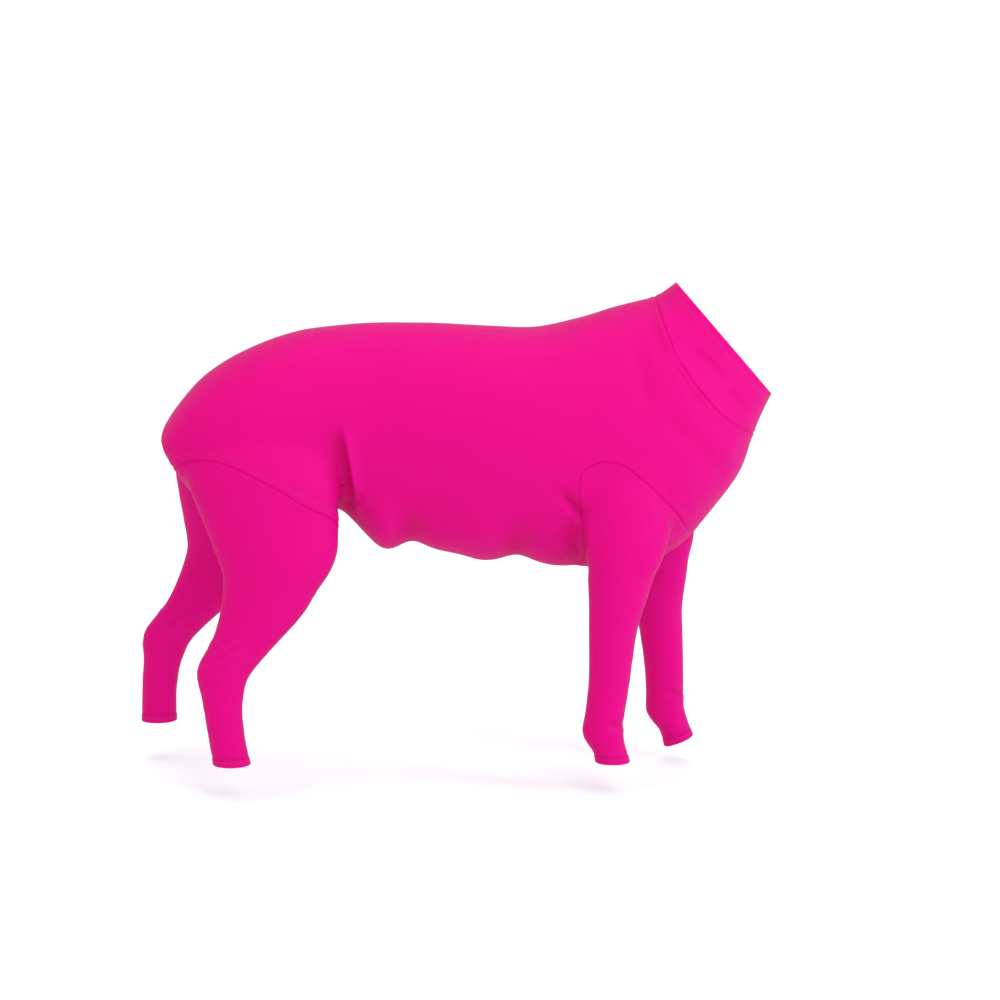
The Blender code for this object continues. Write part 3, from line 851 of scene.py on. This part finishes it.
def shell(cut, wall):
    """A cut surface as cloth of a thickness, with rounded edges. Returns points, triangles and masks."""
    points, normals, triangles, masks, inward = cut
    runs = edge_runs(triangles)
    rim = np.unique(runs)
    place = np.full(len(points), -1)
    place[rim] = np.arange(len(rim))
    count = len(points)
    rows = [points, points - normals * wall]
    profile = edge_profile(wall)
    for deep, reach in profile:
        rows.append(points[rim] - normals[rim] * deep - inward[rim] * reach)
    bands = [runs]
    bands += [2 * count + row * len(rim) + place[runs] for row in range(len(profile))]
    bands.append(runs + count)
    faces = [triangles, triangles[:, ::-1] + count]
    for outer, inner in zip(bands, bands[1:]):
        faces.append(np.stack([outer[:, 1], outer[:, 0], inner[:, 0]], axis=1))
        faces.append(np.stack([outer[:, 1], inner[:, 0], inner[:, 1]], axis=1))
    shades = [masks, masks] + [masks[rim]] * len(profile)
    return np.vstack(rows), np.vstack(faces), np.vstack(shades)


def grain_of(points, centre, along, radius):
    """Where each point lies in the knit: round the limb or body, and along it."""
    if along == 0:
        turn = np.arctan2(points[:, 1], points[:, 2] - centre)
    else:
        turn = np.arctan2(points[:, 0] - centre(points[:, 2]), np.abs(points[:, 1]) - radius)
    return np.stack([turn * radius, points[:, along]], axis=1)


def cloth_object(name, points, triangles, masks, grain, material):
    mesh = bpy.data.meshes.new(name)
    mesh.vertices.add(len(points))
    mesh.vertices.foreach_set("co", points.astype(np.float32).ravel())
    mesh.loops.add(triangles.size)
    mesh.loops.foreach_set("vertex_index", triangles.astype(np.int32).ravel())
    mesh.polygons.add(len(triangles))
    mesh.polygons.foreach_set("loop_start", np.arange(0, triangles.size, 3, dtype=np.int32))
    mesh.update(calc_edges=True)
    mesh.validate()
    mesh.polygons.foreach_set("use_smooth", np.ones(len(mesh.polygons), bool))
    for column, mask in enumerate(("fold_painted_shading", "seam")):
        attribute = mesh.attributes.new(mask, "FLOAT", "POINT")
        attribute.data.foreach_set("value", masks[:, column].astype(np.float32))
    layer = mesh.uv_layers.new(name="grain")
    corners = np.zeros(len(mesh.loops), int)
    mesh.loops.foreach_get("vertex_index", corners)
    layer.data.foreach_set("uv", grain[corners].astype(np.float32).ravel())
    mesh.materials.append(material)
    piece = bpy.data.objects.new(name, mesh)
    bpy.context.scene.collection.objects.link(piece)
    return piece


def wear(piece, slot, *nodes):
    """The piece rides on the suit's one body and stands for its solids."""
    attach(piece, "root")
    if nodes:
        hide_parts(*nodes)
    return piece


def new_group(name, inputs, outputs):
    """An empty node group with named sockets, and its two end nodes."""
    group = bpy.data.node_groups.new(name, "ShaderNodeTree")
    for label, kind, value in inputs:
        socket = group.interface.new_socket(label, in_out="INPUT", socket_type=kind)
        if value is not None:
            socket.default_value = value
    for label, kind in outputs:
        group.interface.new_socket(label, in_out="OUTPUT", socket_type=kind)
    return group, group.nodes.new("NodeGroupInput"), group.nodes.new("NodeGroupOutput")


def fill_sockets(tree, sockets, values):
    """Each socket is linked to its value or set to it."""
    for socket, value in zip(sockets, values):
        if isinstance(value, bpy.types.NodeSocket):
            tree.links.new(value, socket)
        else:
            socket.default_value = value


def math_node(tree, operation, *values, clamp=False):
    node = tree.nodes.new("ShaderNodeMath")
    node.operation = operation
    node.use_clamp = clamp
    fill_sockets(tree, node.inputs, values)
    return node.outputs[0]


def mix_colour(tree, share, first, second):
    node = tree.nodes.new("ShaderNodeMix")
    node.data_type = "RGBA"
    fill_sockets(tree, (node.inputs[0], node.inputs[6], node.inputs[7]), (share, first, second))
    return node.outputs[2]


def knit_loops_group():
    """Rows of knitted loops, as a height from 0 to 1."""
    group, given, result = new_group(
        "knit_loops",
        (("Grain", "NodeSocketVector", None), ("Wale", "NodeSocketFloat", WALE_PITCH),
         ("Course", "NodeSocketFloat", COURSE_PITCH)),
        (("Height", "NodeSocketFloat"),),
    )
    split = group.nodes.new("ShaderNodeSeparateXYZ")
    group.links.new(given.outputs["Grain"], split.inputs[0])
    wale = math_node(group, "DIVIDE", split.outputs[0], given.outputs["Wale"])
    course = math_node(group, "DIVIDE", split.outputs[1], given.outputs["Course"])
    lean = math_node(group, "ABSOLUTE", math_node(group, "SINE", math_node(group, "MULTIPLY", wale, math.pi)))
    rows = math_node(group, "ADD", course, math_node(group, "MULTIPLY", lean, LOOP_LEAN))
    loops = math_node(group, "SINE", math_node(group, "MULTIPLY", rows, 2 * math.pi))
    raised = math_node(group, "MULTIPLY_ADD", loops, LOOP_SWELL, 0.5)
    height = math_node(group, "MULTIPLY", raised, math_node(group, "SQRT", lean))
    group.links.new(height, result.inputs["Height"])
    return group


def cloth_tone_group():
    """The knit's colour and roughness: deeper pink in fold valleys, a painted shade, and along seams, and paler
    on fold ridges, a painted highlight.
    """
    group, given, result = new_group(
        "cloth_tone",
        (("Cloth", "NodeSocketColor", PINK + (1,)), ("Deep", "NodeSocketColor", DEEP_PINK + (1,)),
         ("Pale", "NodeSocketColor", PALE_PINK + (1,)), ("Mottle", "NodeSocketFloat", MOTTLE),
         ("Crease_painted_shade", "NodeSocketFloat", CREASE_PAINTED_SHADE), ("Seam", "NodeSocketFloat", SEAM_SHADE),
         ("Roughness", "NodeSocketFloat", KNIT_ROUGHNESS)),
        (("Color", "NodeSocketColor"), ("Roughness", "NodeSocketFloat")),
    )
    place = group.nodes.new("ShaderNodeTexCoord").outputs["Object"]
    masks = {}
    for mask in ("fold_painted_shading", "seam"):
        node = group.nodes.new("ShaderNodeAttribute")
        node.attribute_name = mask
        masks[mask] = node.outputs["Fac"]
    clouds = group.nodes.new("ShaderNodeTexNoise")
    clouds.inputs["Scale"].default_value = CLOUD_SCALE
    clouds.inputs["Detail"].default_value = 3
    group.links.new(place, clouds.inputs["Vector"])
    paler = math_node(group, "MULTIPLY", clouds.outputs["Fac"], given.outputs["Mottle"], clamp=True)
    tone = mix_colour(group, paler, given.outputs["Cloth"], given.outputs["Pale"])
    # Painted highlight: fold ridges go towards pale pink.
    ridge_painted_highlight = math_node(group, "MULTIPLY", masks["fold_painted_shading"], -RIDGE_PAINTED_HIGHLIGHT, clamp=True)
    tone = mix_colour(group, ridge_painted_highlight, tone, given.outputs["Pale"])
    # Painted shade: fold valleys go towards deep pink.
    valley = math_node(group, "MULTIPLY", masks["fold_painted_shading"], given.outputs["Crease_painted_shade"], clamp=True)
    tone = mix_colour(group, valley, tone, given.outputs["Deep"])
    sewn = math_node(group, "MULTIPLY", masks["seam"], given.outputs["Seam"], clamp=True)
    tone = mix_colour(group, sewn, tone, given.outputs["Deep"])
    group.links.new(tone, result.inputs["Color"])
    rough = math_node(
        group, "MULTIPLY_ADD", clouds.outputs["Fac"], CLOUD_ROUGHNESS, given.outputs["Roughness"]
    )
    group.links.new(rough, result.inputs["Roughness"])
    return group


def stretch_knit(name, groups, fold_painted_shading=CREASE_PAINTED_SHADE, bump=KNIT_BUMP):
    """Hot-pink stretch knit, with painted shade where it is seen edge-on."""
    material = bpy.data.materials.new(name)
    material.use_nodes = True
    tree = material.node_tree
    shader = tree.nodes["Principled BSDF"]
    tone = tree.nodes.new("ShaderNodeGroup")
    tone.node_tree = groups["tone"]
    tone.inputs["Crease_painted_shade"].default_value = fold_painted_shading
    # Painted shade: where the cloth is seen edge-on, its colour goes towards deep pink.
    facing = tree.nodes.new("ShaderNodeLayerWeight")
    facing.inputs["Blend"].default_value = 0.5
    turned_away = math_node(tree, "POWER", facing.outputs["Facing"], EDGE_PAINTED_SHADE_POWER)
    deeper = math_node(tree, "MULTIPLY", turned_away, EDGE_PAINTED_SHADE)
    shaded = mix_colour(tree, deeper, tone.outputs["Color"], DEEP_PINK + (1,))
    tree.links.new(shaded, shader.inputs["Base Color"])
    tree.links.new(tone.outputs["Roughness"], shader.inputs["Roughness"])
    grain = tree.nodes.new("ShaderNodeUVMap")
    grain.uv_map = "grain"
    loops = tree.nodes.new("ShaderNodeGroup")
    loops.node_tree = groups["loops"]
    tree.links.new(grain.outputs["UV"], loops.inputs["Grain"])
    lift = tree.nodes.new("ShaderNodeBump")
    lift.inputs["Strength"].default_value = bump
    lift.inputs["Distance"].default_value = LOOP_HEIGHT
    tree.links.new(loops.outputs["Height"], lift.inputs["Height"])
    tree.links.new(lift.outputs["Normal"], shader.inputs["Normal"])
    shader.inputs["IOR"].default_value = KNIT_IOR
    shader.inputs["Specular IOR Level"].default_value = KNIT_SPECULAR
    shader.inputs["Sheen Weight"].default_value = SHEEN_WEIGHT
    shader.inputs["Sheen Roughness"].default_value = SHEEN_ROUGHNESS
    shader.inputs["Sheen Tint"].default_value = SHEEN_TINT
    return material


def ordered_loops(runs):
    """The edge runs as closed loops of point numbers."""
    follow = dict(runs.tolist())
    loops = []
    while follow:
        start = next(iter(follow))
        loop = [start]
        nxt = follow.pop(start)
        while nxt in follow:
            loop.append(nxt)
            nxt = follow.pop(nxt)
        loops.append(loop)
    return loops


def stitch_row(cut, loop, inset, tree):
    """Small raised stitches along a loop, at a distance in from the edge."""
    points, normals, _, _, inward = cut
    line = points[loop] + inward[loop] * inset
    line = np.vstack([line, line[:1]])
    reach = np.concatenate([[0], np.cumsum(np.linalg.norm(np.diff(line, axis=0), axis=1))])
    count = max(int(reach[-1] / STITCH_PITCH), 3)
    middles = (np.arange(count) + 0.5) * reach[-1] / count
    stitches, faces = [], []
    for middle in middles:
        ends = [middle - STITCH_LENGTH / 2, middle + STITCH_LENGTH / 2]
        spots = [np.array([np.interp(end, reach, line[:, axis]) for axis in range(3)]) for end in ends]
        centre = (spots[0] + spots[1]) / 2
        on, normal, _, _ = tree.find_nearest(Vector(centre))
        run = Vector(spots[1] - spots[0])
        if on is None or run.length < STITCH_LENGTH / 3:
            continue
        side = normal.cross(run).normalized()
        for share, size in STITCH_RINGS:
            for angle in range(STITCH_SIDES):
                turn = 2 * math.pi * angle / STITCH_SIDES
                out = side * math.cos(turn) * STITCH_WIDTH / 2 + normal * math.sin(turn) * STITCH_RISE
                arch = normal * STITCH_RISE * (STITCH_ARCH - share * share)
                stitches.append(on + run * share / 2 + out * size + arch)
        last = len(stitches) - STITCH_SIDES
        first = len(stitches) - len(STITCH_RINGS) * STITCH_SIDES
        for ring in range(len(STITCH_RINGS) - 1):
            for angle in range(STITCH_SIDES):
                a = first + ring * STITCH_SIDES + angle
                b = first + ring * STITCH_SIDES + (angle + 1) % STITCH_SIDES
                faces.append((a, b, b + STITCH_SIDES, a + STITCH_SIDES))
        faces.append(tuple(range(first, first + STITCH_SIDES))[::-1])
        faces.append(tuple(range(last, last + STITCH_SIDES)))
    return stitches, faces


def stitches_object(name, rows, material):
    """Rows of stitches as one piece."""
    points, faces = [], []
    for row_points, row_faces in rows:
        faces += [tuple(len(points) + corner for corner in face) for face in row_faces]
        points += row_points
    mesh = bpy.data.meshes.new(name)
    mesh.from_pydata(points, [], faces)
    mesh.polygons.foreach_set("use_smooth", np.ones(len(mesh.polygons), bool))
    mesh.materials.append(material)
    piece = bpy.data.objects.new(name, mesh)
    bpy.context.scene.collection.objects.link(piece)
    return piece


def thread(name):
    """Sewing thread in the knit's own pinks."""
    material = bpy.data.materials.new(name)
    material.use_nodes = True
    shader = material.node_tree.nodes["Principled BSDF"]
    twist = material.node_tree.nodes.new("ShaderNodeTexNoise")
    twist.inputs["Scale"].default_value = TWIST_SCALE
    ramp = mix_colour(material.node_tree, twist.outputs["Fac"], PINK + (1,), DEEP_PINK + (1,))
    material.node_tree.links.new(ramp, shader.inputs["Base Color"])
    shader.inputs["Roughness"].default_value = THREAD_ROUGHNESS
    return material


def build_room():
    """A pale floor that curves up behind, soft light and the camera at the photo's angle."""
    profile = [(FLOOR_FRONT, 0.0), (BEND_FROM, 0.0)]
    for angle in np.linspace(BEND_START, math.pi / 2, BEND_STEPS):
        along, up = math.sin(angle), 1 - math.cos(angle)
        profile.append((BEND_FROM + BEND_RADIUS * along, BEND_RADIUS * up))
    profile.append((BEND_FROM + BEND_RADIUS, BACK_TOP))
    bm = bmesh.new()
    left = [bm.verts.new((-FLOOR_HALF, y, GROUND + z)) for y, z in profile]
    right = [bm.verts.new((FLOOR_HALF, y, GROUND + z)) for y, z in profile]
    for i in range(len(profile) - 1):
        bm.faces.new((left[i], right[i], right[i + 1], left[i + 1]))
    mesh = bpy.data.meshes.new("pale_floor")
    bm.to_mesh(mesh)
    bm.free()
    mesh.polygons.foreach_set("use_smooth", np.ones(len(mesh.polygons), bool))
    floor = bpy.data.objects.new("pale_floor", mesh)
    bpy.context.scene.collection.objects.link(floor)
    paint = bpy.data.materials.new("pale_floor")
    paint.use_nodes = True
    shader = paint.node_tree.nodes["Principled BSDF"]
    shader.inputs["Base Color"].default_value = FLOOR_WHITE
    shader.inputs["Roughness"].default_value = FLOOR_ROUGHNESS
    shader.inputs["Specular IOR Level"].default_value = FLOOR_SPECULAR
    mesh.materials.append(paint)

    world = bpy.data.worlds.new("studio")
    world.use_nodes = True
    world.node_tree.nodes["Background"].inputs["Color"].default_value = (1, 1, 1, 1)
    world.node_tree.nodes["Background"].inputs["Strength"].default_value = WORLD_LIGHT
    bpy.context.scene.world = world
    for name, place, aim, size, power, tint in LAMPS:
        lamp = bpy.data.lights.new(name, "AREA")
        lamp.shape = "SQUARE"
        lamp.size = size
        lamp.energy = power
        lamp.color = tint
        holder = bpy.data.objects.new(name, lamp)
        holder.location = place
        holder.rotation_euler = (Vector(aim) - Vector(place)).to_track_quat("-Z", "Y").to_euler()
        bpy.context.scene.collection.objects.link(holder)

    camera = bpy.data.cameras.new("photo_view")
    camera.lens = LENS
    camera.sensor_width = 36
    camera.clip_end = 60
    holder = bpy.data.objects.new("photo_view", camera)
    holder.location = EYE
    holder.rotation_euler = (Vector(AIM) - Vector(EYE)).to_track_quat("-Z", "Y").to_euler()
    bpy.context.scene.collection.objects.link(holder)
    bpy.context.scene.camera = holder
    bpy.context.scene.view_settings.view_transform = "Standard"


def leg_centre(leg):
    """A function that gives the middle of a leg at a height."""
    rows = np.array(leg["sections"])
    downs = rows[:, 0] * leg["length"]
    centres = [leg["x"] + c * leg["depth"] + leg_shift(leg, d) for d, c in rows[:, :2]]
    return lambda z: np.interp(WALL - leg["drop"] - z, downs, centres)


def make_panel(node, form, field, wall, grain_place, slot, knits):
    """One piece of cloth cut from the form, in the place of its node. Returns the cut surface too."""
    cut = cut_out(form, field)
    cloth, faces, masks = shell(cut, wall)
    piece = cloth_object(f"{node}_knit", cloth, faces, masks, grain_of(cloth, *grain_place), knits[slot])
    return cut, wear(piece, slot, node)


def build_suit():
    """The cloth pieces, then their stitches."""
    legs = make_legs()
    form = worked_form(legs)
    points, normals = form[:2]
    groups = {"loops": knit_loops_group(), "tone": cloth_tone_group()}
    knits = {
        "body_knit": stretch_knit("body_knit", groups),
        "collar_knit": stretch_knit("collar_knit", groups, fold_painted_shading=COLLAR_CREASE_PAINTED_SHADE),
        "sleeve_knit": stretch_knit("sleeve_knit", groups),
        "cuff_knit": stretch_knit("cuff_knit", groups, bump=CUFF_BUMP),
    }
    pink_thread = thread("pink_thread")
    seam_inset = EDGE_ROUND - SEAM_LAP

    opening = opening_field(points, normals)
    past_collar = collar_field(points, normals, COLLAR_SEAM, COLLAR_BOW)
    before_rim = turned(collar_field(points, normals, COLLAR_RIM, 0))
    holes = {key: sleeve_field(points, normals, leg, -REACH_BELOW) for key, leg in legs.items()}

    pieces = {}
    body = tightest(
        less(turned(past_collar), seam_inset),
        less(opening, EDGE_ROUND),
        *(less(turned(hole), seam_inset) for hole in holes.values()),
    )
    body_grain = (-BODY_DEPTH / 2, 0, BODY_WIDTH / 2)
    cut, pieces["body"] = make_panel("body_panel", form, body, WALL, body_grain, "body_knit", knits)
    opening_rows = hem_rows(cut, opening_field, (), HEM_ROWS)

    collar = tightest(less(past_collar, seam_inset), less(before_rim, EDGE_ROUND))
    collar_grain = (0, 0, BODY_WIDTH / 2)
    cut, pieces["collar"] = make_panel(
        "neck_collar", form, collar, COLLAR_WALL, collar_grain, "collar_knit", knits
    )
    collar_rows = hem_rows(cut, collar_field, (COLLAR_RIM, 0), HEM_ROWS)

    cuff_rows = []
    for (place, side), leg in legs.items():
        up = cuff_field(points, normals, leg)
        leg_grain = (leg_centre(leg), 2, leg["track"] / 2)
        sleeve = tightest(
            less(holes[place, side], seam_inset),
            less(up, CUFF_DEPTH + seam_inset),
            less(opening, EDGE_ROUND),
        )
        node = f"{place}_sleeve_{side}"
        _, pieces[place, side] = make_panel(node, form, sleeve, WALL, leg_grain, "sleeve_knit", knits)
        cuff = tightest(less(up, EDGE_ROUND), less(turned(less(up, CUFF_DEPTH)), seam_inset))
        node = f"{place}_cuff_{side}"
        cut, pieces[place, side, "cuff"] = make_panel(
            node, form, cuff, CUFF_WALL, leg_grain, "cuff_knit", knits
        )
        cuff_rows += hem_rows(cut, cuff_field, (leg,), CUFF_STITCH_ROWS)
    wear(stitches_object("cuff_stitches", cuff_rows, pink_thread), "cuff_knit")
    rim = wear(stitches_object("collar_stitches", collar_rows, pink_thread), "collar_knit")
    hem = wear(stitches_object("opening_stitches", opening_rows, pink_thread), "body_knit")
    for place, side in legs:
        cuff = pieces[place, side, "cuff"]


def hem_rows(cut, field, arguments, insets):
    """Stitches beside the one edge of a piece on which the field is least."""
    points, normals, triangles, _, _ = cut
    tree = BVHTree.FromPolygons(points.tolist(), triangles.tolist())
    loops = [loop for loop in ordered_loops(edge_runs(triangles)) if len(loop) > SHORTEST_LOOP]
    edge = min(loops, key=lambda loop: np.abs(field(points[loop], normals[loop], *arguments)[0]).mean())
    return [stitch_row(cut, edge, inset, tree) for inset in insets]


build_room()
build_suit()
